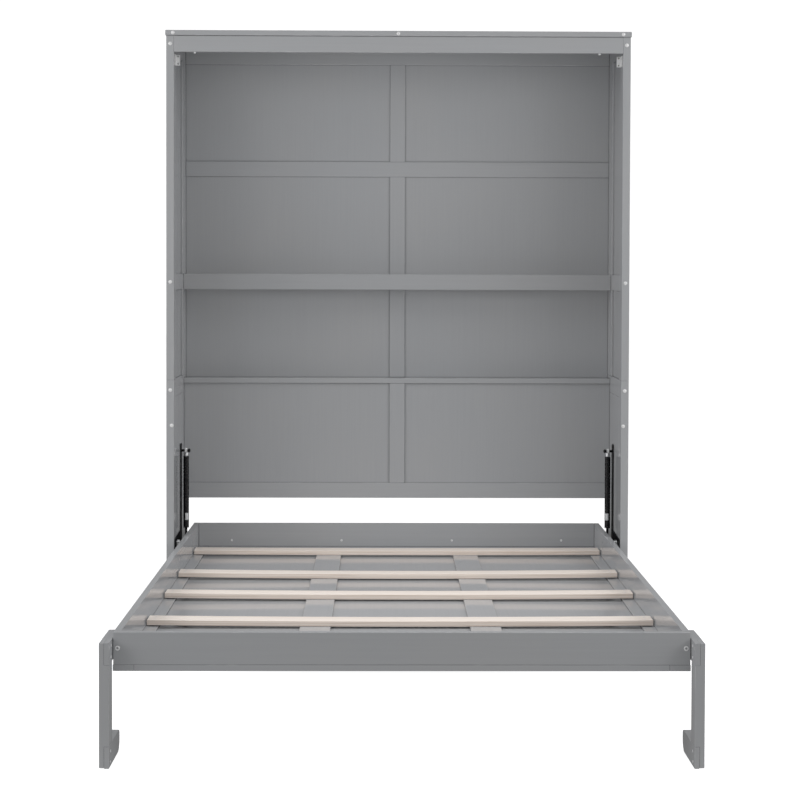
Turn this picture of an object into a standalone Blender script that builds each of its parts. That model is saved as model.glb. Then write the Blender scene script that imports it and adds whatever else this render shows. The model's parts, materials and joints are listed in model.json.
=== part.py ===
"""Wall bed: a painted cabinet with a queen bed that folds down out of it.

Metres, +Z up. The front, where the foot of the open bed is, faces -Y, and the object is
symmetric about X = 0. The bed is modelled open, standing on its two legs. The origin is on
the floor, at the middle of the open bed and cabinet taken together.
"""

import math

import bmesh
import bpy
from mathutils import Matrix, Vector

# ---------------------------------------------------------------- driving dimensions
CLEAR = 0.0003                      # gap between pieces that touch

HALF_OUTER = 0.855                  # cabinet, outer face of a side
HALF_INNER = 0.827                  # cabinet, inner face of a side
CABINET_DEPTH = 0.424
CABINET_HEIGHT = 2.226
TOP_THICK = 0.020
TOP_OVERHANG = 0.0035
MEMBER = 0.060                      # width of the stiles and rails
SEAM_Z = 0.938                      # the sides and back come in an upper and a lower section
SEAM_RAIL = 0.064
POCKET = 0.0075                     # depth of the recess in a side panel
BACK_STILE_Y = 0.300                # front edge of a side's back stile
FRAME_THICK = 0.006                 # rails and stiles applied to the back panels
BACK_PANEL = 0.0125
UPPER_BACK_Y = 0.405
LOWER_BACK_Y = 0.332
LOWER_BACK_Z = 0.460
UPPER_RAIL_Z = (1.710, 1.768)
CROSS_RAIL_Z = (1.270, 1.329)
CROSS_RAIL_Y = (0.318, 0.337)
BATTEN_Z = (0.907, 0.926)
BATTEN_Y = 0.330
CENTRE_STILE = 0.058

HALF_BED = 0.790
HEAD_Y = 0.3662
FOOT_Y = -1.7373
SIDE_RAIL = 0.0192
END_RAIL = 0.0195
RAIL_Z = (0.2688, 0.3583)
FRAME_Z = (0.2510, 0.2685)          # bottom frame of the bed
HALF_FRAME = 0.7912                 # the bottom frame stands a little proud of the side rails
FRAME_STILE = 0.0565
MID_STILE_X = (0.2115, 0.304)       # inner and outer edge of an intermediate stile
PANEL_TOP = 0.2620
PANEL_POCKET = 0.003
SLAT = (1.533, 0.070, 0.0158)       # length, width, thickness
# distance back, and how far the middle hangs below the ends
SLATS = ((0.170, 0.0020), (-0.345, 0.0055), (-0.737, 0.0048), (-1.180, 0.0042))

LEG_X = (0.7915, 0.8190)
LEG_SPLIT = 0.8054                  # the half-lap joints meet here
LEG_FRONT = -1.8025
LEG_BACK = -1.605
LEG_TOP = 0.3415
LEG_BLOCK = 0.0598
POST_LIFT = 0.002                   # the post stops short of the floor; the foot block stands on it

PIVOT = (0.076, 0.324)              # main pivot, (y, z)
LEG_PIVOT = (-1.668, 0.310)
STUD_TOP = (0.2225, 0.655)
STUD_LOW = (0.2225, 0.310)
PIVOT_R = 0.006
LEG_PIVOT_R = 0.005
STUD_R = 0.005
FIT = 0.0003                        # radial clearance in a bore

STRUT_X = 0.806
TUBE_R = 0.011
TUBE_Z = (0.360, 0.634)
ROD_R = 0.005
ROD_TOP = 0.618
EYE_R = 0.010
EYE_THICK = 0.008
NECK_R = 0.006
WALL_PLATE_X = (0.8237, 0.8267)
BED_PLATE_X = (0.7903, 0.7938)

# Every y above is measured back from the front of the cabinet; this puts the middle at y = 0.
FRONT_SHIFT = -(LEG_FRONT + CABINET_DEPTH) / 2

SIDES = (("left", -1), ("right", 1))

# base colour, roughness, metallic
FINISHES = {
    "frame_paint": ((0.295, 0.300, 0.305), 0.42, 0.0),
    "panel_paint": ((0.235, 0.240, 0.246), 0.42, 0.0),
    "slat_wood": ((0.640, 0.520, 0.430), 0.62, 0.0),
    "black_steel": ((0.012, 0.012, 0.013), 0.35, 0.6),
    "zinc": ((0.640, 0.650, 0.660), 0.35, 0.9),
}

# ---------------------------------------------------------------- scene
for old in list(bpy.data.objects):
    bpy.data.objects.remove(old, do_unlink=True)

PARTS = bpy.data.collections.new("wall_bed")
TOOLS = bpy.data.collections.new("cutters")
bpy.context.scene.collection.children.link(PARTS)
bpy.context.scene.collection.children.link(TOOLS)


def finish(obj, kind):
    colour, roughness, metallic = FINISHES[kind]
    mat = bpy.data.materials.new(obj.name + "_" + kind)
    mat.use_nodes = True
    shader = mat.node_tree.nodes["Principled BSDF"]
    shader.inputs["Base Color"].default_value = (*colour, 1.0)
    shader.inputs["Roughness"].default_value = roughness
    shader.inputs["Metallic"].default_value = metallic
    obj.data.materials.append(mat)


def shifted(y):
    return y + FRONT_SHIFT


def empty(name, y, z, parent=None):
    """A joint's axis runs along X through this empty."""
    obj = bpy.data.objects.new(name, None)
    obj.empty_display_size = 0.05
    PARTS.objects.link(obj)
    attach(obj, Vector((0.0, shifted(y), z)), parent)
    return obj


def attach(obj, world, parent):
    """Places an unrotated object at a world point, below an unrotated parent."""
    base = Vector((0.0, 0.0, 0.0))
    link = parent
    while link is not None:
        base += link.location
        link = link.parent
    obj.parent = parent
    obj.location = world - base


def add(name, mesh, at, kind=None, parent=None):
    obj = bpy.data.objects.new(name, mesh)
    if kind is None:
        TOOLS.objects.link(obj)
        obj.hide_render = True
        obj.display_type = "WIRE"
    else:
        PARTS.objects.link(obj)
        finish(obj, kind)
    attach(obj, Vector(at), parent)
    return obj


def from_bmesh(name, work):
    mesh = bpy.data.meshes.new(name)
    work.to_mesh(mesh)
    work.free()
    return mesh


def box(name, xs, ys, zs, kind=None, parent=None):
    """A board between two planes on each axis; y is measured from the cabinet's front."""
    spans = [sorted(span) for span in (xs, ys, zs)]
    work = bmesh.new()
    bmesh.ops.create_cube(work, size=1.0)
    bmesh.ops.scale(work, vec=[high - low for low, high in spans], verts=work.verts)
    middle = [(low + high) / 2 for low, high in spans]
    middle[1] = shifted(middle[1])
    return add(name, from_bmesh(name, work), middle, kind, parent)


def hanging_board(name, size, y, low, sag, kind, parent, steps=12):
    """A board along X whose underside touches low in the middle and rises by sag at its ends."""
    length, width, thick = size
    work = bmesh.new()
    sections = []
    for step in range(steps + 1):
        share = 2 * step / steps - 1
        x, z = share * length / 2, sag * share ** 2
        sections.append([work.verts.new((x, across, height)) for across, height in
                         ((-width / 2, z), (width / 2, z), (width / 2, z + thick), (-width / 2, z + thick))])
    for here, after in zip(sections, sections[1:]):
        for index in range(4):
            other = (index + 1) % 4
            work.faces.new((here[index], here[other], after[other], after[index]))
    work.faces.new(sections[0])
    work.faces.new(sections[-1][::-1])
    bmesh.ops.recalc_face_normals(work, faces=work.faces)
    return add(name, from_bmesh(name, work), (0.0, shifted(y), low), kind, parent)


def rod(name, radius, axis, at, length, kind=None, parent=None, sides=32):
    """A cylinder along X or Z, centred on a point (x, y, z)."""
    work = bmesh.new()
    bmesh.ops.create_cone(work, cap_ends=True, segments=sides, radius1=radius, radius2=radius, depth=length)
    if axis == "X":
        turn = Matrix.Rotation(math.radians(90), 3, "Y")
        bmesh.ops.rotate(work, cent=(0, 0, 0), matrix=turn, verts=work.verts)
    mesh = from_bmesh(name, work)
    mesh.shade_smooth()
    mesh.set_sharp_from_angle(angle=math.radians(40))
    return add(name, mesh, (at[0], shifted(at[1]), at[2]), kind, parent)


def rounded(corners, steps=6):
    """Points round an anticlockwise outline of (y, z, radius) corners."""
    points = []
    for index, (y, z, radius) in enumerate(corners):
        here = Vector((y, z))
        if radius == 0:
            points.append(here)
            continue
        before = (Vector(corners[index - 1][:2]) - here).normalized()
        after = (Vector(corners[(index + 1) % len(corners)][:2]) - here).normalized()
        half = before.angle(after) / 2
        centre = here + (before + after).normalized() * radius / math.sin(half)
        start = here + before * radius / math.tan(half) - centre
        finish_at = here + after * radius / math.tan(half) - centre
        sweep = start.angle_signed(finish_at)
        for step in range(steps + 1):
            turn = Matrix.Rotation(-sweep * step / steps, 2)
            points.append(centre + turn @ start)
    return points


def plate(name, corners, xs, kind=None, parent=None):
    """A flat outline in the YZ plane, extruded between two X planes."""
    low, high = sorted(xs)
    points = rounded(corners)
    middle = sum(points, Vector((0.0, 0.0))) / len(points)
    curve = bpy.data.curves.new(name, "CURVE")
    curve.dimensions = "2D"
    curve.fill_mode = "BOTH"
    curve.extrude = (high - low) / 2
    spline = curve.splines.new("POLY")
    spline.points.add(len(points) - 1)
    for spot, point in zip(spline.points, points):
        spot.co = (*(point - middle), 0.0, 1.0)
    spline.use_cyclic_u = True
    guide = bpy.data.objects.new(name + "_outline", curve)
    TOOLS.objects.link(guide)
    bpy.context.view_layer.update()
    graph = bpy.context.evaluated_depsgraph_get()
    mesh = bpy.data.meshes.new_from_object(guide.evaluated_get(graph))
    bpy.data.objects.remove(guide, do_unlink=True)
    work = bmesh.new()
    work.from_mesh(mesh)
    bmesh.ops.remove_doubles(work, verts=work.verts, dist=1e-6)
    stand = Matrix(((0, 0, 1), (1, 0, 0), (0, 1, 0)))
    bmesh.ops.rotate(work, cent=(0, 0, 0), matrix=stand, verts=work.verts)
    bmesh.ops.recalc_face_normals(work, faces=work.faces)
    work.to_mesh(mesh)
    work.free()
    mesh.name = name
    return add(name, mesh, ((low + high) / 2, shifted(middle[0]), middle[1]), kind, parent)


def combine(target, tool, operation):
    step = target.modifiers.new(tool.name, "BOOLEAN")
    step.operation = operation
    step.object = tool
    step.solver = "EXACT"


def cut(target, tool):
    combine(target, tool, "DIFFERENCE")


def join(target, tool):
    combine(target, tool, "UNION")


# ---------------------------------------------------------------- cabinet
top_z = CABINET_HEIGHT - TOP_THICK
under_top = top_z - CLEAR
inside = HALF_INNER - CLEAR
across = (-inside, inside)
rail_low = top_z - MEMBER

box("top_board", (-HALF_OUTER - TOP_OVERHANG, HALF_OUTER + TOP_OVERHANG), (-0.004, CABINET_DEPTH),
    (top_z, CABINET_HEIGHT), "frame_paint")
box("top_front_rail", across, (0, 0.020), (rail_low, under_top), "frame_paint")

for side, sign in SIDES:
    thick = (sign * HALF_INNER, sign * HALF_OUTER)
    upper = (SEAM_Z + CLEAR, under_top)
    inner_y = (MEMBER + CLEAR, BACK_STILE_Y - CLEAR)
    box(side + "_upper_front_stile", thick, (0, MEMBER), upper, "frame_paint")
    box(side + "_upper_back_stile", thick, (BACK_STILE_Y, CABINET_DEPTH), upper, "frame_paint")
    panel = box(side + "_upper_side_panel", thick, inner_y, upper, "panel_paint")
    for face, label in ((HALF_INNER, "in"), (HALF_OUTER, "out")):
        for low, high, bay in ((0.90, CROSS_RAIL_Z[0], "low"), (CROSS_RAIL_Z[1], rail_low, "high")):
            cut(panel, box(side + "_pocket_" + label + bay,
                           (sign * (face - POCKET), sign * (face + POCKET)), (0.0, 0.4), (low, high)))
    lower_y = (MEMBER + CLEAR, CABINET_DEPTH)
    box(side + "_lower_front_stile", thick, (0, MEMBER), (0, SEAM_Z), "frame_paint")
    box(side + "_seam_rail", thick, lower_y, (SEAM_Z - SEAM_RAIL, SEAM_Z), "frame_paint")
    box(side + "_lower_side_panel", thick, lower_y, (0, SEAM_Z - SEAM_RAIL - CLEAR), "panel_paint")

upper_frame = (UPPER_BACK_Y, UPPER_BACK_Y + FRAME_THICK)
upper_panel = (upper_frame[1] + CLEAR, upper_frame[1] + CLEAR + BACK_PANEL)
lower_frame = (LOWER_BACK_Y, LOWER_BACK_Y + FRAME_THICK)
lower_panel = (lower_frame[1] + CLEAR, lower_frame[1] + CLEAR + BACK_PANEL)
centre = (-CENTRE_STILE / 2, CENTRE_STILE / 2)
bottom_rail_z = (LOWER_BACK_Z, LOWER_BACK_Z + 0.059)

box("back_top_rail", across, upper_frame, (rail_low, under_top), "frame_paint")
box("back_upper_rail", across, upper_frame, UPPER_RAIL_Z, "frame_paint")
box("back_top_centre_stile", centre, upper_frame, (UPPER_RAIL_Z[1] + CLEAR, rail_low - CLEAR), "frame_paint")
box("back_middle_centre_stile", centre, upper_frame, (BATTEN_Z[1] + CLEAR, UPPER_RAIL_Z[0] - CLEAR), "frame_paint")
box("upper_back_panel", across, upper_panel, (BATTEN_Z[0], under_top), "panel_paint")
box("cross_rail", across, CROSS_RAIL_Y, CROSS_RAIL_Z, "frame_paint")
box("back_seam_batten", across, (BATTEN_Y, upper_frame[1]), BATTEN_Z, "frame_paint")
box("back_lower_centre_stile", centre, lower_frame, (bottom_rail_z[1] + CLEAR, BATTEN_Z[0] - CLEAR), "frame_paint")
box("back_bottom_rail", across, lower_frame, bottom_rail_z, "frame_paint")
box("lower_back_panel", across, lower_panel, (LOWER_BACK_Z, BATTEN_Z[0] - CLEAR), "panel_paint")
box("base_rear_rail", across, (0.404, CABINET_DEPTH), (0.010, 0.070), "frame_paint")

# ---------------------------------------------------------------- bed
bed = empty("bed_pivot", *PIVOT)
inner_x = HALF_BED - SIDE_RAIL
frame_in = HALF_BED - FRAME_STILE
side_rail_front = FOOT_Y + END_RAIL + CLEAR

box("foot_rail", (-HALF_BED, HALF_BED), (FOOT_Y, FOOT_Y + END_RAIL), RAIL_Z, "frame_paint", bed)
box("head_rail", (CLEAR - inner_x, inner_x - CLEAR), (HEAD_Y - END_RAIL, HEAD_Y), RAIL_Z, "frame_paint", bed)
side_rails = {}
for side, sign in SIDES:
    rail = box(side + "_side_rail", (sign * inner_x, sign * HALF_BED), (side_rail_front, HEAD_Y), RAIL_Z,
               "frame_paint", bed)
    side_rails[side] = rail
    box(side + "_frame_stile", (sign * frame_in, sign * HALF_FRAME), (FOOT_Y, HEAD_Y), FRAME_Z, "frame_paint", bed)
    box(side + "_middle_stile", [sign * x for x in MID_STILE_X],
        (FOOT_Y + MEMBER + CLEAR, HEAD_Y - MEMBER - CLEAR), (PANEL_TOP + CLEAR, FRAME_Z[1]), "frame_paint", bed)

between = (CLEAR - frame_in, frame_in - CLEAR)
box("foot_cross_rail", between, (FOOT_Y, FOOT_Y + MEMBER), FRAME_Z, "frame_paint", bed)
box("head_cross_rail", between, (HEAD_Y - MEMBER, HEAD_Y), FRAME_Z, "frame_paint", bed)
panel_y = (FOOT_Y + MEMBER + CLEAR, HEAD_Y - MEMBER - CLEAR)
bottom = box("bed_panel", between, panel_y, (FRAME_Z[0], PANEL_TOP), "panel_paint", bed)
for label, low, high in (("left", -1.0, -MID_STILE_X[1]), ("middle", -MID_STILE_X[0], MID_STILE_X[0]),
                         ("right", MID_STILE_X[1], 1.0)):
    cut(bottom, box("pocket_" + label, (low, high), (-1.9, 0.5),
                    (FRAME_Z[0] - 0.01, FRAME_Z[0] + PANEL_POCKET), None, bed))

for number, (y, sag) in enumerate(SLATS, 1):
    hanging_board("slat_%d" % number, SLAT, y, RAIL_Z[0], sag, "slat_wood", bed)

# ---------------------------------------------------------------- legs
post_back = LEG_FRONT + MEMBER
for side, sign in SIDES:
    leg = empty(side + "_leg_pivot", *LEG_PIVOT, bed)
    wide = [sign * x for x in LEG_X]
    outer_half = (sign * (LEG_SPLIT - CLEAR), sign * 0.9)
    inner_half = (sign * 0.7, sign * LEG_SPLIT)
    block_low = LEG_TOP - LEG_BLOCK
    post = box(side + "_leg_post", wide, (LEG_FRONT, post_back), (POST_LIFT, LEG_TOP), "frame_paint", leg)
    cut(post, box(side + "_lap_high", inner_half, (-2, -1), (block_low - CLEAR, 1), None, leg))
    cut(post, box(side + "_lap_low", inner_half, (-2, -1), (-1, LEG_BLOCK + CLEAR), None, leg))
    for name, low in (("leg_arm", block_low), ("leg_foot", 0.0)):
        high = low + LEG_BLOCK
        shape = [(LEG_FRONT, low, 0), (LEG_BACK, low, 0.032), (LEG_BACK, high, 0.015), (LEG_FRONT, high, 0)]
        block = plate(side + "_" + name, shape, wide, "frame_paint", leg)
        cut(block, box(side + "_lap_" + name, outer_half, (-2, post_back + CLEAR), (-1, 1), None, leg))
        if name == "leg_arm":
            cut(block, rod(side + "_arm_bore", LEG_PIVOT_R + FIT, "X", (sign * 0.8, *LEG_PIVOT), 0.1,
                           None, leg))

    bolt = rod(side + "_leg_bolt", LEG_PIVOT_R, "X", (sign * 0.79725, *LEG_PIVOT), 0.0485, "zinc", bed)
    join(bolt, rod(side + "_leg_bolt_head", 0.009, "X", (sign * 0.8208, *LEG_PIVOT), 0.0030, None, bed))
    cut(side_rails[side], rod(side + "_leg_bolt_bore", LEG_PIVOT_R + FIT, "X",
                              (sign * 0.78, *LEG_PIVOT), 0.06, None, bed))

# ---------------------------------------------------------------- fold mechanism
for side, sign in SIDES:
    wall = plate(side + "_cabinet_plate",
                 [(0.050, 0.250, 0.012), (0.245, 0.250, 0.012), (0.245, 0.682, 0.010), (0.200, 0.682, 0.010),
                  (0.200, 0.3535, 0.006), (0.016, 0.3470, 0.008), (0.016, 0.300, 0.012)],
                 [sign * x for x in WALL_PLATE_X], "black_steel")
    join(wall, rod(side + "_upper_stud", STUD_R, "X", (sign * 0.8115, *STUD_TOP), 0.0270))
    cut(wall, rod(side + "_wall_bore", PIVOT_R + FIT, "X", (sign * 0.825, *PIVOT), 0.02))

    bolt = rod(side + "_main_pivot_bolt", PIVOT_R, "X", (sign * 0.7995, *PIVOT), 0.0540, "zinc")
    join(bolt, rod(side + "_pivot_collar", 0.012, "X", (sign * 0.8184, *PIVOT), 0.0098))

    arm = plate(side + "_bed_plate",
                [(0.045, 0.277, 0.012), (0.250, 0.277, 0.012), (0.250, 0.350, 0.012), (0.045, 0.350, 0.012)],
                [sign * x for x in BED_PLATE_X], "black_steel", bed)
    join(arm, rod(side + "_lower_stud", STUD_R, "X", (sign * 0.7962, *STUD_LOW), 0.0106, None, bed))
    for target, length in ((arm, 0.02), (side_rails[side], 0.06)):
        cut(target, rod(target.name + "_pivot_bore", PIVOT_R + FIT, "X", (sign * 0.785, *PIVOT), length, None, bed))

    swing = empty(side + "_strut_pivot", *STUD_TOP)
    y = STUD_TOP[0]
    middle = sum(TUBE_Z) / 2
    tube = rod(side + "_strut_tube", TUBE_R, "Z", (sign * STRUT_X, y, middle), TUBE_Z[1] - TUBE_Z[0],
               "black_steel", swing)
    join(tube, rod(side + "_tube_neck", NECK_R, "Z", (sign * STRUT_X, y, 0.6365), 0.020, None, swing))
    join(tube, rod(side + "_tube_eye", EYE_R, "X", (sign * STRUT_X, *STUD_TOP), EYE_THICK, None, swing))
    cut(tube, rod(side + "_tube_eye_bore", STUD_R + FIT, "X", (sign * STRUT_X, *STUD_TOP), 0.03, None, swing))
    bore_top = 0.626
    cut(tube, rod(side + "_tube_bore", ROD_R + FIT, "Z", (sign * STRUT_X, y, (bore_top + 0.350) / 2),
                  bore_top - 0.350, None, swing))

    slide = empty(side + "_strut_slide", *STUD_LOW, swing)
    low = STUD_LOW[1] + EYE_R * 0.8
    stem = rod(side + "_strut_rod", ROD_R, "Z", (sign * STRUT_X, y, (ROD_TOP + low) / 2), ROD_TOP - low,
               "black_steel", slide)
    join(stem, rod(side + "_rod_eye", EYE_R, "X", (sign * STRUT_X, *STUD_LOW), EYE_THICK, None, slide))
    cut(stem, rod(side + "_rod_eye_bore", STUD_R + FIT, "X", (sign * STRUT_X, *STUD_LOW), 0.03, None, slide))

    catch_z = (2.1015, 2.1405)
    catch = box(side + "_catch_bracket", (sign * 0.8242, sign * (HALF_INNER - CLEAR)), (0.022, 0.0585), catch_z,
                "zinc")
    join(catch, box(side + "_catch_flange", (sign * 0.8103, sign * (HALF_INNER - CLEAR)), (0.056, 0.0585), catch_z))
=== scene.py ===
"""Looks of the wall bed: finishes, arrises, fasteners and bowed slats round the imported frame.

Metres, +Z up, the foot of the open bed towards -Y. Places are read from the frame's nodes, so that
every piece stays where the design puts it.
"""

import json
import math

import bmesh
import bpy
from mathutils import Matrix, Vector


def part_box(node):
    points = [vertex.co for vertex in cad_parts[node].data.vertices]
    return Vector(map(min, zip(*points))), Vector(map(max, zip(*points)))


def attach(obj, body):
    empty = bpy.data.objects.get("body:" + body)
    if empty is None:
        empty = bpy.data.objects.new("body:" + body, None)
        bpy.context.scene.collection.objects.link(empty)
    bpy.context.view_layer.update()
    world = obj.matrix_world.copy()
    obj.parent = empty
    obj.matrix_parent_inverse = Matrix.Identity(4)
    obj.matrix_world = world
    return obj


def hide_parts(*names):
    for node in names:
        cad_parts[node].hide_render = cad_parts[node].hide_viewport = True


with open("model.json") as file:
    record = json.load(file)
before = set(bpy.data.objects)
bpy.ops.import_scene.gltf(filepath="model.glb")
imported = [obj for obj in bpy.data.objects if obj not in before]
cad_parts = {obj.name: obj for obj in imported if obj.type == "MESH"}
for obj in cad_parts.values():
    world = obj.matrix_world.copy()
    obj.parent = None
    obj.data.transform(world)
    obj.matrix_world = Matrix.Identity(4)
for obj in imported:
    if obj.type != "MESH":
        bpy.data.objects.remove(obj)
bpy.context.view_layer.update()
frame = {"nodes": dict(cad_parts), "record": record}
RECORD = frame["record"]
NODES = frame["nodes"]
SIDES = (("left", -1), ("right", 1))
AXES = "XYZ"

# ---------------------------------------------------------------- camera
CAMERA_PLACE = (-0.0543, -5.9179, 1.3548)
YAW, PITCH, ROLL = (math.radians(angle) for angle in (0.597, 1.504, 0.169))
LENS = 80.55                        # millimetres
SENSOR_WIDTH = 36
LENS_SHIFT = (-0.0025, -0.1065)


def make_camera():
    ahead = Vector((math.sin(YAW) * math.cos(PITCH), math.cos(YAW) * math.cos(PITCH), -math.sin(PITCH)))
    level = Vector((math.cos(YAW), -math.sin(YAW), 0.0))
    above = level.cross(ahead)
    right = level * math.cos(ROLL) + above * math.sin(ROLL)
    up = above * math.cos(ROLL) - level * math.sin(ROLL)
    lens = bpy.data.cameras.new("camera")
    lens.lens = LENS
    lens.sensor_width = SENSOR_WIDTH
    lens.shift_x, lens.shift_y = LENS_SHIFT
    camera = bpy.data.objects.new("camera", lens)
    turn = Matrix((right, up, -ahead)).transposed().to_4x4()
    camera.matrix_world = Matrix.Translation(CAMERA_PLACE) @ turn
    bpy.context.scene.collection.objects.link(camera)
    bpy.context.scene.camera = camera


# ---------------------------------------------------------------- studio
WHITE = (1, 1, 1, 1)
SKY = 0.11                          # fill light from all round
BACKDROP = 1.1                      # how white the surroundings look to the camera
GAMMA = 1.3                         # softens the contrast
FLOOR_WHITE = (0.86, 0.86, 0.86, 1)
FLOOR_GLOW = 0.93                   # keeps the floor as white as the backdrop
FLOOR_SIZE = 60
FLOOR_GAP = 0.0004                  # the floor lies just below the feet
# name, place, aim, width, height, spread in degrees, watts
LIGHTS = (
    ("front_left", (-2.8, -6.3, 2.5), (0.0, 0.4, 1.2), 1.6, 2.2, 180, 11),
    ("front_right", (2.8, -6.3, 2.5), (0.0, 0.4, 1.2), 1.6, 2.2, 180, 11),
    ("upper_left", (-2.8, -6.0, 1.5), (0.4, 1.0, 3.0), 1.0, 1.0, 26, 0.12),
    ("upper_right", (2.8, -6.0, 1.5), (-0.4, 1.0, 3.0), 1.0, 1.0, 26, 0.12),
    ("under_top", (0.0, 0.0, 0.8), (0.0, 1.08, 2.15), 1.4, 0.3, 44, 0.48),
    ("left_front", (-4.2, -4.6, 2.8), (0.0, 0.2, 1.1), 2.0, 2.6, 180, 40),
    ("right_front", (4.2, -4.6, 2.8), (0.0, 0.2, 1.1), 2.0, 2.6, 180, 42),
    ("left_side", (-4.0, -0.8, 3.6), (0.0, -0.2, 1.0), 2.5, 2.5, 180, 74),
    ("right_side", (4.0, -0.8, 3.6), (0.0, -0.2, 1.0), 2.5, 2.5, 180, 71),
    ("left_low", (-4.0, -1.6, 1.2), (0.0, 0.2, 0.8), 2.0, 2.0, 180, 21),
    ("right_low", (4.0, -1.6, 1.2), (0.0, 0.2, 0.8), 2.0, 2.0, 180, 21),
    ("under_floor", (0.0, -2.0, -1.5), (0.0, 0.0, 0.8), 6.0, 3.0, 180, 18),
    ("over_foot", (0.0, -1.3, 3.3), (0.0, -1.2, 0.0), 1.8, 1.0, 60, 0.35),
    ("over_head", (0.0, -0.4, 3.2), (0.0, -0.3, 0.0), 1.8, 1.0, 60, 5.2),
)


def make_world():
    """A plain white backdrop that the camera sees, and a weaker fill that lights the object."""
    world = bpy.data.worlds.new("white")
    world.use_nodes = True
    tree = world.node_tree
    fill = tree.nodes["Background"]
    fill.inputs["Color"].default_value = WHITE
    fill.inputs["Strength"].default_value = SKY
    seen = put(tree, "Background", None, Color=WHITE, Strength=BACKDROP)
    ray = put(tree, "LightPath")
    pick = put(tree, "MixShader", None, Fac=ray.outputs["Is Camera Ray"])
    tree.links.new(fill.outputs[0], pick.inputs[1])
    tree.links.new(seen.outputs[0], pick.inputs[2])
    tree.links.new(pick.outputs[0], tree.nodes["World Output"].inputs["Surface"])
    bpy.context.scene.world = world


def make_lights():
    for name, place, aim, width, height, spread, watts in LIGHTS:
        lamp = bpy.data.lights.new(name, "AREA")
        lamp.shape = "RECTANGLE"
        lamp.size, lamp.size_y = width, height
        lamp.spread = math.radians(spread)
        lamp.energy = watts
        obj = bpy.data.objects.new(name, lamp)
        obj.location = place
        obj.rotation_euler = (Vector(aim) - Vector(place)).to_track_quat("-Z", "Y").to_euler()
        bpy.context.scene.collection.objects.link(obj)


def set_tone():
    bpy.context.scene.view_settings.view_transform = "Standard"
    bpy.context.scene.view_settings.gamma = GAMMA


def make_floor():
    """A white floor that only the camera sees, so that it throws no light back up."""
    work = bmesh.new()
    bmesh.ops.create_grid(work, x_segments=1, y_segments=1, size=FLOOR_SIZE / 2)
    mesh = bpy.data.meshes.new("floor")
    work.to_mesh(mesh)
    work.free()
    floor = bpy.data.objects.new("floor", mesh)
    floor.location.z = -FLOOR_GAP
    bpy.context.scene.collection.objects.link(floor)
    mat, tree, shader = new_material("floor_white")
    shader.inputs["Base Color"].default_value = FLOOR_WHITE
    shader.inputs["Roughness"].default_value = 0.9
    shader.inputs["Emission Color"].default_value = WHITE
    shader.inputs["Emission Strength"].default_value = FLOOR_GLOW
    mesh.materials.append(mat)
    floor.visible_diffuse = floor.visible_glossy = floor.visible_shadow = False


# ---------------------------------------------------------------- materials
def new_material(name):
    mat = bpy.data.materials.new(name)
    mat.use_nodes = True
    return mat, mat.node_tree, mat.node_tree.nodes["Principled BSDF"]


def put(tree, kind, settings=None, **sockets):
    """Adds a node; a socket's value is a number, a colour or another node's output."""
    node = tree.nodes.new("ShaderNode" + kind)
    for key, value in (settings or {}).items():
        setattr(node, key, value)
    for key, value in sockets.items():
        socket = node.inputs[key.replace("_", " ")]
        if isinstance(value, bpy.types.NodeSocket):
            tree.links.new(value, socket)
        else:
            socket.default_value = value
    return node


def blend_colours(tree, share, first, second):
    """The first colour where share is 0, the second where it is 1."""
    node = put(tree, "Mix", {"data_type": "RGBA"})
    factor, a, b = node.inputs[0], node.inputs[6], node.inputs[7]
    for socket, value in ((factor, share), (a, first), (b, second)):
        if isinstance(value, bpy.types.NodeSocket):
            tree.links.new(value, socket)
        else:
            socket.default_value = value
    return node.outputs[2]


def ranged(tree, value, low, high, new_low, new_high):
    """The value carried from one range to another, held at the ends."""
    node = put(tree, "MapRange", None, Value=value)
    for name, number in (("From Min", low), ("From Max", high), ("To Min", new_low), ("To Max", new_high)):
        node.inputs[name].default_value = number
    return node.outputs["Result"]


def noise(tree, vector, scale, detail=2.0, roughness=0.5):
    node = put(tree, "TexNoise", None, Vector=vector, Scale=scale, Detail=detail, Roughness=roughness)
    return node.outputs["Fac"]


def stretched(tree, vector, grain, along, across):
    """Coordinates in which one unit is long along the grain and short across it."""
    scale = [along if axis == grain else across for axis in AXES]
    return put(tree, "Mapping", None, Vector=vector, Scale=scale).outputs["Vector"]


def tinted(colour, factor):
    """The colour made lighter or darker by a factor, with full alpha."""
    return (*(min(1.0, channel * factor) for channel in colour), 1.0)


PAINTED_SHADE_REACH = 0.0045              # how far out of a joint or inner corner the painted shade reaches
PEEL_HEIGHT = 0.0002
FIBRE_HEIGHT = 0.0003


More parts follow.
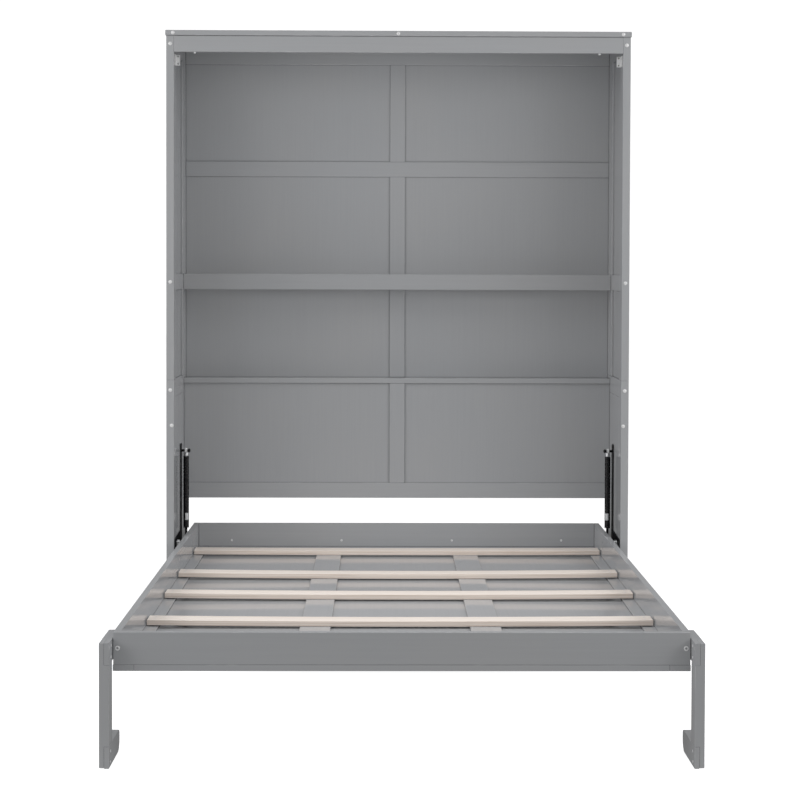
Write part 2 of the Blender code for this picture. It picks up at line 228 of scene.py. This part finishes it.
def painted_wood(name, colour, grain, edge=False):
    """Glossy grey paint over wood: faint fibres along the grain, uneven rolling, fine orange peel,
    and painted shade that darkens the paint in joints and inner corners. Paint on an edge is lighter in
    places, partly as rubbed wear and partly as a painted highlight on the arris."""
    mat, tree, shader = new_material(name)
    spot = put(tree, "TexCoord").outputs["Object"]
    fibres = noise(tree, stretched(tree, spot, grain, 3.0, 150.0), 1.0, 4.0, 0.6)
    rolled = noise(tree, spot, 2.6, 3.0)
    peel = noise(tree, spot, 420.0, 1.0)
    fibre_tint = ranged(tree, fibres, 0.3, 0.7, 0.0, 1.0)
    plain = blend_colours(tree, fibre_tint, tinted(colour, 0.965), tinted(colour, 1.035))
    rolled_tint = ranged(tree, rolled, 0.35, 0.65, 0.0, 1.0)
    cool = (colour[0] * 0.97, colour[1] * 0.995, colour[2] * 1.02, 1.0)
    patchy = blend_colours(tree, rolled_tint, cool, tinted(colour, 1.02))
    surface = blend_colours(tree, 0.45, plain, patchy)
    if edge:
        # Partly rubbed wear, partly a painted highlight: the arris paint is made lighter in patches.
        rub_and_highlight = noise(tree, stretched(tree, spot, grain, 9.0, 40.0), 1.0, 3.0, 0.7)
        rubbed_and_highlit = ranged(tree, rub_and_highlight, 0.52, 0.72, 0.0, 1.0)
        surface = blend_colours(tree, rubbed_and_highlit, surface, tinted(colour, 1.45))
    # Painted shade: an occlusion mask darkens the colour in joints and inner corners, where shade falls.
    painted_shade = put(tree, "AmbientOcclusion", {"samples": 6}, Distance=PAINTED_SHADE_REACH).outputs["AO"]
    clear = ranged(tree, painted_shade, 0.30, 0.95, 0.0, 1.0)
    surface = blend_colours(tree, clear, tinted(colour, 0.45), surface)
    tree.links.new(surface, shader.inputs["Base Color"])
    tree.links.new(ranged(tree, fibres, 0.2, 0.8, 0.08, 0.14), shader.inputs["Roughness"])
    peel_bump = put(tree, "Bump", None, Strength=0.06, Distance=PEEL_HEIGHT, Height=peel)
    fibre_bump = put(tree, "Bump", None, Strength=0.14, Distance=FIBRE_HEIGHT, Height=fibres,
                     Normal=peel_bump.outputs["Normal"])
    tree.links.new(fibre_bump.outputs["Normal"], shader.inputs["Normal"])
    return mat


PLY = 0.0052                        # height of two plies, a light and a dark one
PLY_WOBBLE = 0.004
FACE_DARK, FACE_LIGHT = (0.860, 0.735, 0.650, 1), (0.930, 0.835, 0.755, 1)
PLY_DARK, PLY_LIGHT = (0.800, 0.640, 0.530, 1), (0.940, 0.835, 0.745, 1)
PORE = (0.42, 0.32, 0.24, 1)
STREAK = (0.46, 0.31, 0.21, 1)


def computed(tree, operation, first, second=None, third=None):
    """The result of a sum on up to three inputs, each a number or another node's output."""
    node = put(tree, "Math", {"operation": operation})
    for socket, value in zip(node.inputs, (first, second, third)):
        if isinstance(value, bpy.types.NodeSocket):
            tree.links.new(value, socket)
        elif value is not None:
            socket.default_value = value
    return node.outputs[0]


def bare_slat(name, shift):
    """Pale glued veneer: long figure on the face, thin plies along the edges."""
    mat, tree, shader = new_material(name)
    coords = put(tree, "TexCoord")
    moved = put(tree, "Mapping", None, Vector=coords.outputs["Object"], Location=(shift, shift * 0.7, 0.0))
    spot = moved.outputs["Vector"]
    figure = noise(tree, stretched(tree, spot, "X", 1.6, 55.0), 1.0, 5.0, 0.62)
    pores = noise(tree, stretched(tree, spot, "X", 14.0, 700.0), 1.0, 3.0, 0.7)
    face = blend_colours(tree, ranged(tree, figure, 0.32, 0.68, 0.0, 1.0), FACE_DARK, FACE_LIGHT)
    face = blend_colours(tree, ranged(tree, pores, 0.60, 0.80, 0.0, 0.35), face, PORE)
    parts = put(tree, "SeparateXYZ", None, Vector=coords.outputs["Object"])
    wobble = noise(tree, stretched(tree, spot, "X", 2.0, 8.0), 1.0, 2.0)
    height = computed(tree, "MULTIPLY_ADD", wobble, PLY_WOBBLE, parts.outputs["Z"])
    ripple = computed(tree, "SINE", computed(tree, "MULTIPLY", height, 2 * math.pi / PLY))
    streak = noise(tree, stretched(tree, spot, "X", 2.4, 160.0), 1.0, 3.0, 0.6)
    ply = blend_colours(tree, ranged(tree, ripple, -0.6, 0.9, 0.0, 1.0), PLY_DARK, PLY_LIGHT)
    ply = blend_colours(tree, ranged(tree, streak, 0.50, 0.72, 0.0, 0.6), ply, STREAK)
    facing = put(tree, "SeparateXYZ", None, Vector=coords.outputs["Normal"])
    level = computed(tree, "ABSOLUTE", facing.outputs["Z"])
    surface = blend_colours(tree, ranged(tree, level, 0.35, 0.75, 0.0, 1.0), ply, face)
    tree.links.new(surface, shader.inputs["Base Color"])
    tree.links.new(ranged(tree, pores, 0.3, 0.7, 0.52, 0.66), shader.inputs["Roughness"])
    bump = put(tree, "Bump", None, Strength=0.35, Distance=FIBRE_HEIGHT, Height=figure)
    tree.links.new(bump.outputs["Normal"], shader.inputs["Normal"])
    return mat


GRIT_HEIGHT = 0.0002


def metal(name, dark, light, metallic, rough, cloud_scale, shine=0.5):
    """Plated or coated metal with cloudy colour and uneven gloss."""
    mat, tree, shader = new_material(name)
    spot = put(tree, "TexCoord").outputs["Object"]
    cloud = noise(tree, spot, cloud_scale, 4.0, 0.6)
    grit = noise(tree, spot, 900.0, 2.0)
    surface = blend_colours(tree, ranged(tree, cloud, 0.3, 0.7, 0.0, 1.0), (*dark, 1), (*light, 1))
    tree.links.new(surface, shader.inputs["Base Color"])
    tree.links.new(ranged(tree, cloud, 0.3, 0.7, rough - 0.06, rough + 0.08), shader.inputs["Roughness"])
    shader.inputs["Metallic"].default_value = metallic
    shader.inputs["Specular IOR Level"].default_value = shine
    relief = put(tree, "Bump", None, Strength=0.15, Distance=GRIT_HEIGHT, Height=grit)
    tree.links.new(relief.outputs["Normal"], shader.inputs["Normal"])
    return mat


BLACK = ((0.0025, 0.0025, 0.003), (0.005, 0.005, 0.0055))
PLATED = (0.82, 0.83, 0.84, 1)
TUBE_TOP = 0.6342                   # the coated tube ends here; its neck and eye above are plated


def tube_finish(name):
    """Black coating up to the end of a strut's tube, bright plating on the neck and eye above it."""
    mat = metal(name, *BLACK, 0.0, 0.26, 60, shine=0.22)
    tree = mat.node_tree
    shader = tree.nodes["Principled BSDF"]
    coating = shader.inputs["Base Color"].links[0].from_socket
    parts = put(tree, "SeparateXYZ", None, Vector=put(tree, "TexCoord").outputs["Object"])
    plated = ranged(tree, parts.outputs["Z"], TUBE_TOP - 0.0001, TUBE_TOP + 0.0001, 0.0, 1.0)
    colour = blend_colours(tree, plated, coating, PLATED)
    tree.links.new(colour, shader.inputs["Base Color"])
    tree.links.new(ranged(tree, plated, 0.0, 1.0, 0.0, 0.55), shader.inputs["Metallic"])
    return mat


PAINT = {"frame_paint": (0.360, 0.366, 0.377), "panel_paint": (0.352, 0.358, 0.369)}
SLAT_NUMBERS = range(1, 5)
SLAT_SHIFT = 1.73                   # moves each slat's figure along, so that no two look alike
MATERIALS = {}


def make_materials():
    for slot, colour in PAINT.items():
        for grain in AXES:
            MATERIALS[slot, grain] = painted_wood(f"{slot}_{grain.lower()}", colour, grain)
            MATERIALS[slot, grain, "edge"] = painted_wood(f"{slot}_edge_{grain.lower()}", colour, grain, True)
    for number in SLAT_NUMBERS:
        MATERIALS["slat", number] = bare_slat(f"slat_wood_{number}", number * SLAT_SHIFT)
    MATERIALS["black_steel"] = metal("black_coated_steel", *BLACK, 0.0, 0.26, 60, shine=0.22)
    MATERIALS["black_plate"] = metal("black_coated_plate", (0.002, 0.002, 0.0025), (0.005, 0.005, 0.0055),
                                     0.0, 0.55, 60, shine=0.05)
    MATERIALS["strut_tube"] = tube_finish("strut_tube_finish")
    MATERIALS["zinc"] = metal("zinc_plate", (0.56, 0.58, 0.60), (0.78, 0.79, 0.80), 0.85, 0.32, 90)
    MATERIALS["nickel"] = metal("bright_nickel", (0.88, 0.88, 0.89), (0.97, 0.97, 0.97), 0.25, 0.30, 120)
    # Near-black finish for the catch screws: painted shade standing in for the dark of the screw holes.
    MATERIALS["painted_hole_shade"] = metal("screw_painted_hole_shade", (0.05, 0.05, 0.055), (0.10, 0.10, 0.11), 0.6, 0.45, 200)
    MATERIALS["label"] = metal("label_foil", (0.50, 0.51, 0.52), (0.72, 0.73, 0.74), 0.3, 0.38, 150)


# ---------------------------------------------------------------- CAD nodes
def smooth_group():
    """A geometry node group that shades every face smooth."""
    group = bpy.data.node_groups.new("shade_smooth", "GeometryNodeTree")
    group.interface.new_socket("Geometry", in_out="INPUT", socket_type="NodeSocketGeometry")
    group.interface.new_socket("Geometry", in_out="OUTPUT", socket_type="NodeSocketGeometry")
    start = group.nodes.new("NodeGroupInput")
    smooth = group.nodes.new("GeometryNodeSetShadeSmooth")
    end = group.nodes.new("NodeGroupOutput")
    group.links.new(start.outputs[0], smooth.inputs["Geometry"])
    group.links.new(smooth.outputs[0], end.inputs[0])
    return group


WELD_REACH = 0.00002
FLAT_LIMIT, ARRIS_LIMIT = (math.radians(angle) for angle in (0.5, 40))
EDGE_SLOT = 1                       # material slot of the paint on rounded arrises


def soften(obj, width, edge_slot=None):
    """Rounds the arrises of a hard-edged mesh without touching the mesh itself."""
    weld = obj.modifiers.new("weld", "WELD")
    weld.merge_threshold = WELD_REACH
    flat = obj.modifiers.new("flat_faces", "DECIMATE")
    flat.decimate_type = "DISSOLVE"
    flat.angle_limit = FLAT_LIMIT
    round_off = obj.modifiers.new("arris", "BEVEL")
    round_off.width = width
    round_off.segments = 3
    round_off.limit_method = "ANGLE"
    round_off.angle_limit = ARRIS_LIMIT
    if edge_slot is not None:
        round_off.material = edge_slot
    smooth = obj.modifiers.new("smooth", "NODES")
    smooth.node_group = SMOOTH
    weigh = obj.modifiers.new("normals", "WEIGHTED_NORMAL")
    weigh.mode = "FACE_AREA"
    weigh.keep_sharp = False


def longest_axis(node):
    """The letter of the axis along which a node is longest."""
    low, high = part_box(node)
    size = high - low
    return AXES[max(range(3), key=lambda index: size[index])]


ARRIS = {"frame_paint": 0.0012, "panel_paint": 0.0007, "black_steel": 0.0004, "zinc": 0.0004}
WIDE_ARRIS = {"top_board": 0.0028, "top_front_rail": 0.0020}
STEEL_FINISH = {"strut_tube": "strut_tube", "cabinet_plate": "black_plate", "bed_plate": "black_plate",
                "catch_bracket": "nickel"}
GRAIN = {"top_board": "X", "bed_panel": "Y", "upper_back_panel": "Z", "lower_back_panel": "Z"}


def dress_nodes():
    """Gives every node but the slats its finish; a steel part's finish goes by its name without the side."""
    for part in RECORD["subparts"]:
        node, slot = part["node"], part["material_slot"]
        if slot == "slat_wood":
            continue
        obj = NODES[node]
        obj.data.materials.clear()
        if slot in PAINT:
            grain = GRAIN.get(node) or longest_axis(node)
            obj.data.materials.append(MATERIALS[slot, grain])
            obj.data.materials.append(MATERIALS[slot, grain, "edge"])
            soften(obj, WIDE_ARRIS.get(node, ARRIS[slot]), EDGE_SLOT)
        else:
            obj.data.materials.append(MATERIALS[STEEL_FINISH.get(node.partition("_")[2], slot)])
            soften(obj, ARRIS[slot])


# ---------------------------------------------------------------- new pieces
def place(name, mesh, material, body, slot):
    """Puts a new piece in the scene, riding on a body."""
    obj = bpy.data.objects.new(name, mesh)
    bpy.context.scene.collection.objects.link(obj)
    mesh.materials.append(material)
    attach(obj, body)
    return obj


SAG = {1: 0.0020, 2: 0.0055, 3: 0.0048, 4: 0.0042}      # how far a slat's middle hangs below its ends
SLAT_ROUND = 0.0009
SLAT_STATIONS = 36
SLAT_SHARP = math.radians(50)


def bowed_slat(number):
    """A slat with eased edges, its middle resting on the frame below and its ends a little higher."""
    node = f"slat_{number}"
    low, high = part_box(node)
    work = bmesh.new()
    bmesh.ops.create_cube(work, size=1.0)
    size = high - low
    size.z -= SAG[number]
    bmesh.ops.scale(work, vec=size, verts=work.verts)
    bmesh.ops.translate(work, vec=low + size / 2, verts=work.verts)
    bmesh.ops.bevel(work, geom=work.edges[:], offset=SLAT_ROUND, segments=4, affect="EDGES", profile=0.5)
    for step in range(1, SLAT_STATIONS):
        x = low.x + size.x * step / SLAT_STATIONS
        geometry = work.verts[:] + work.edges[:] + work.faces[:]
        bmesh.ops.bisect_plane(work, geom=geometry, plane_co=(x, 0, 0), plane_no=(1, 0, 0))
    half = size.x / 2
    for vert in work.verts:
        vert.co.z += SAG[number] * (vert.co.x / half) ** 2
    mesh = bpy.data.meshes.new(f"bowed_slat_{number}")
    work.to_mesh(mesh)
    work.free()
    mesh.shade_smooth()
    mesh.set_sharp_from_angle(angle=SLAT_SHARP)
    slat = place(f"bowed_slat_{number}", mesh, MATERIALS["slat", number], "bed", "slat_wood")
    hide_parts(node)


def circle(_angle):
    """Radius of a unit circle, at any angle."""
    return 1.0


def hexagon(angle):
    """Radius of a unit-apothem hexagon."""
    return 1.0 / math.cos((angle + math.pi / 6) % (math.pi / 3) - math.pi / 6)


def cross(angle):
    """Radius of a cross-head recess with four arms."""
    return 0.42 + 0.58 * abs(math.cos(2 * angle)) ** 3


TURN_STEPS = 48
TURN_SHARP = math.radians(35)


def turned(name, rings, at, facing, material, body, slot):
    """A closed lathe-made piece. Each ring is (radius, height, outline); heights run along facing."""
    work = bmesh.new()
    turn = Vector((0, 0, 1)).rotation_difference(Vector(facing)).to_matrix().to_4x4()
    loops = []
    for radius, height, outline in rings:
        loop = []
        for step in range(TURN_STEPS):
            angle = 2 * math.pi * step / TURN_STEPS
            reach = radius * outline(angle)
            loop.append(work.verts.new((reach * math.cos(angle), reach * math.sin(angle), height)))
        loops.append(loop)
    for lower, upper in zip(loops, loops[1:]):
        for step in range(TURN_STEPS):
            after = (step + 1) % TURN_STEPS
            work.faces.new((lower[step], lower[after], upper[after], upper[step]))
    work.faces.new(list(reversed(loops[0])))
    work.faces.new(loops[-1])
    mesh = bpy.data.meshes.new(name)
    bmesh.ops.transform(work, matrix=Matrix.Translation(at) @ turn, verts=work.verts)
    bmesh.ops.recalc_face_normals(work, faces=work.faces)
    work.to_mesh(mesh)
    work.free()
    mesh.shade_smooth()
    mesh.set_sharp_from_angle(angle=TURN_SHARP)
    return place(name, mesh, material, body, slot)


# ---------------------------------------------------------------- fasteners
FRONT, UP, DOWN = (0, -1, 0), (0, 0, 1), (0, 0, -1)
HEAD_R = 0.0068                     # cover caps and flanged bolts
HEAD_ROOT = -0.001                  # heads reach this far into the wood
DOME_FOOT, DOME_RISE, DOME_STEPS = 0.0008, 0.0011, 7


def cover_cap(name, at, body):
    """A domed cover cap with a thin rim, facing the front."""
    rings = [(HEAD_R, HEAD_ROOT, circle), (HEAD_R, 0.0003, circle), (HEAD_R * 0.95, DOME_FOOT, circle)]
    for step in range(1, DOME_STEPS):
        angle = math.pi / 2 * step / DOME_STEPS
        rings.append((HEAD_R * 0.84 * math.cos(angle), DOME_FOOT + DOME_RISE * math.sin(angle), circle))
    return turned(name, rings, at, FRONT, MATERIALS["nickel"], body, "zinc")


SOCKET_R, SOCKET_DEPTH = 0.0030, 0.0024


def socket_bolt(name, at, body):
    """A flanged bolt head with a hexagon socket, facing the front."""
    rings = [(HEAD_R, HEAD_ROOT, circle), (HEAD_R, 0.0004, circle), (HEAD_R * 0.93, 0.0009, circle),
             (HEAD_R * 0.72, 0.0012, circle), (SOCKET_R * 1.08, 0.0012, circle),
             (SOCKET_R, 0.0009, hexagon), (SOCKET_R * 0.96, 0.0009 - SOCKET_DEPTH, hexagon),
             (SOCKET_R * 0.3, 0.0006 - SOCKET_DEPTH, circle)]
    return turned(name, rings, at, FRONT, MATERIALS["nickel"], body, "zinc")


def cross_screw(name, at, facing, body, radius=0.0042, rise=0.0010, material="nickel"):
    """A flat-domed cross-head screw."""
    rings = [(radius, -0.0008, circle), (radius, 0.0001, circle), (radius * 0.86, rise * 0.62, circle),
             (radius * 0.66, rise, circle), (radius * 0.60, rise, cross), (radius * 0.42, -0.0006, cross),
             (radius * 0.12, -0.0012, circle)]
    return turned(name, rings, at, facing, MATERIALS[material], body, "zinc")


TOP_CAPS = (("left", -0.8295), ("middle", -0.0017), ("right", 0.8268))
TOP_CAP_Z = 2.2155
STILE_CAPS = ((0.840, 2.176), (0.840, 1.300), (0.840, 0.901), (0.835, 0.770))       # X and Z
CATCH_SCREW_X = 0.8172
CATCH_INSETS = (0.0062, 0.0058)     # of the screws from the bracket's lower and upper ends
CATCH_FACE = 0.0025                 # from the bracket's back to the face that the screws stand on
PEG_X, PEG_SHIFT = 0.7455, -0.005   # both pegs sit a little to the left
PEG = ((0.0042, -0.001, circle), (0.0042, 0.0030, circle), (0.0036, 0.0045, circle), (0.0020, 0.0053, circle))


def fit_top_caps():
    board_low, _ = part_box("top_board")
    for label, x in TOP_CAPS:
        cover_cap(f"top_cap_{label}", (x, board_low.y, TOP_CAP_Z), "cabinet")


def fit_stile_caps(side, sign):
    stile_low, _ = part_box("left_upper_front_stile")
    for number, (x, z) in enumerate(STILE_CAPS, 1):
        cover_cap(f"{side}_stile_cap_{number}", (sign * x, stile_low.y, z), "cabinet")


def fit_catch_screws(side, sign):
    low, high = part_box(f"{side}_catch_bracket")
    for label, z in (("low", low.z + CATCH_INSETS[0]), ("high", high.z - CATCH_INSETS[1])):
        # The catch screws carry the near-black painted shade of the holes.
        at = (sign * CATCH_SCREW_X, high.y - CATCH_FACE, z)
        cross_screw(f"{side}_catch_screw_{label}", at, FRONT, "cabinet", 0.0030, 0.0006, "painted_hole_shade")


def fit_rail_peg(side, sign):
    low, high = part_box("top_front_rail")
    at = (sign * PEG_X + PEG_SHIFT, (low.y + high.y) / 2, low.z)
    turned(f"{side}_rail_peg", PEG, at, DOWN, MATERIALS["nickel"], "cabinet", "zinc")


FOOT_BOLT_X, FOOT_BOLT_Z = 0.778, 0.3145
HEAD_SCREWS = (("inner", 0.215), ("outer", 0.642))
HEAD_SCREW_Z = 0.2925


def fit_rail_fasteners(side, sign):
    foot_low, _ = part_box("foot_rail")
    head_low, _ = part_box("head_rail")
    socket_bolt(f"{side}_foot_rail_bolt", (sign * FOOT_BOLT_X, foot_low.y, FOOT_BOLT_Z), "bed")
    for label, x in HEAD_SCREWS:
        cross_screw(f"{side}_head_rail_screw_{label}", (sign * x, head_low.y, HEAD_SCREW_Z), FRONT, "bed")


SLAT_SCREWS = (("front", 0.28), ("back", 0.72))         # share of the slat's width
SLAT_SCREW_INSET = 0.022
SLAT_SCREW_DROP = 0.057             # share of the sag by which a slat has dropped at its screws
SLAT_SCREW = ((0.0034, -0.002, circle), (0.0034, 0.0, circle), (0.0030, 0.0001, circle),
              (0.0022, 0.0001, cross), (0.0016, -0.0012, cross), (0.0004, -0.0016, circle))


def fit_slat_screws(number):
    low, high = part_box(f"slat_{number}")
    z = high.z - SAG[number] * SLAT_SCREW_DROP
    for side, sign in SIDES:
        for label, share in SLAT_SCREWS:
            at = (sign * (high.x - SLAT_SCREW_INSET), low.y + (high.y - low.y) * share, z)
            name = f"{side}_slat_{number}_screw_{label}"
            turned(name, SLAT_SCREW, at, UP, MATERIALS["zinc"], "bed", "zinc")


# place, Y and Z of the screws on the inner face of a leg
LEG_SCREWS = (("arm_high", -1.0722, 0.327), ("arm_low", -1.0722, 0.2955),
              ("foot_high", -1.0830, 0.0415), ("foot_low", -1.0880, 0.0135))


def fit_leg_screws(side, sign):
    low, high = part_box(f"{side}_leg_arm")
    inner = sign * min(abs(low.x), abs(high.x))
    for label, y, z in LEG_SCREWS:
        name = f"{side}_leg_screw_{label}"
        cross_screw(name, (inner, y, z), (-sign, 0, 0), f"{side}_leg", 0.0038, 0.0006)


# ---------------------------------------------------------------- struts
STUD_Z, STUD_END = 0.655, 0.7978    # upper stud: height, and how far out from the middle it ends
FITTING_Z = 0.6345
FITTING = ((0.0066, 0.0, circle), (0.0074, 0.0008, circle), (0.0074, 0.0070, circle),
           (0.0070, 0.0078, hexagon), (0.0070, 0.0128, hexagon), (0.0062, 0.0136, circle))
STUD_NUT = ((0.0070, 0.0, hexagon), (0.0074, 0.0006, hexagon), (0.0074, 0.0052, hexagon),
            (0.0068, 0.0058, hexagon), (0.0052, 0.0060, circle), (0.0050, 0.0078, circle),
            (0.0040, 0.0084, circle))
LABEL_Z = (0.391, 0.4165)
LABEL_TURN, LABEL_REACH, LABEL_SHARP = (math.radians(angle) for angle in (22, 34, 40))
LABEL_LIFTS = (0.00012, 0.00030)    # the label's inner and outer skins stand this far off the tube
LABEL_COLUMNS, LABEL_ROWS = 16, 6


def fit_strut(side, sign):
    low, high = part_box(f"{side}_strut_tube")
    x, y = (low.x + high.x) / 2, (low.y + high.y) / 2
    radius = (high.y - low.y) / 2
    body = f"{side}_strut_body"
    wrap_label(f"{side}_strut_label", x, y, radius, -sign * LABEL_TURN, body)
    turned(f"{side}_strut_end_fitting", FITTING, (x, y, FITTING_Z), UP, MATERIALS["zinc"], body, "zinc")
    turned(f"{side}_upper_stud_nut", STUD_NUT, (sign * STUD_END, y, STUD_Z), (-sign, 0, 0),
           MATERIALS["black_steel"], "cabinet", "black_steel")


def span_faces(work, lines):
    """Joins lines of corners, each to the next, with four-sided faces."""
    for lower, upper in zip(lines, lines[1:]):
        for step in range(len(lower) - 1):
            work.faces.new((lower[step], lower[step + 1], upper[step + 1], upper[step]))


def wrap_label(name, x, y, radius, turn, body):
    """A blank foil label wrapped round the front of a tube, turned towards the bed's middle."""
    work = bmesh.new()
    skins = []
    for lift in LABEL_LIFTS:
        skin = []
        for row in range(LABEL_ROWS + 1):
            z = LABEL_Z[0] + (LABEL_Z[1] - LABEL_Z[0]) * row / LABEL_ROWS
            line = []
            for column in range(LABEL_COLUMNS + 1):
                angle = -math.pi / 2 + turn + LABEL_REACH * (2 * column / LABEL_COLUMNS - 1)
                line.append(work.verts.new((x + (radius + lift) * math.cos(angle),
                                            y + (radius + lift) * math.sin(angle), z)))
            skin.append(line)
        skins.append(skin)
        span_faces(work, skin)
    inner, outer = skins
    for end in (0, -1):
        span_faces(work, (inner[end], outer[end]))
        span_faces(work, ([line[end] for line in inner], [line[end] for line in outer]))
    bmesh.ops.recalc_face_normals(work, faces=work.faces)
    mesh = bpy.data.meshes.new(name)
    work.to_mesh(mesh)
    work.free()
    mesh.shade_smooth()
    mesh.set_sharp_from_angle(angle=LABEL_SHARP)
    return place(name, mesh, MATERIALS["label"], body, "zinc")


# ---------------------------------------------------------------- build
SMOOTH = smooth_group()
make_camera()
make_world()
make_lights()
set_tone()
make_materials()
make_floor()
dress_nodes()
for slat_number in SLAT_NUMBERS:
    bowed_slat(slat_number)
    fit_slat_screws(slat_number)
fit_top_caps()
for side_name, side_sign in SIDES:
    fit_stile_caps(side_name, side_sign)
    fit_catch_screws(side_name, side_sign)
    fit_rail_peg(side_name, side_sign)
    fit_rail_fasteners(side_name, side_sign)
    fit_leg_screws(side_name, side_sign)
    fit_strut(side_name, side_sign)
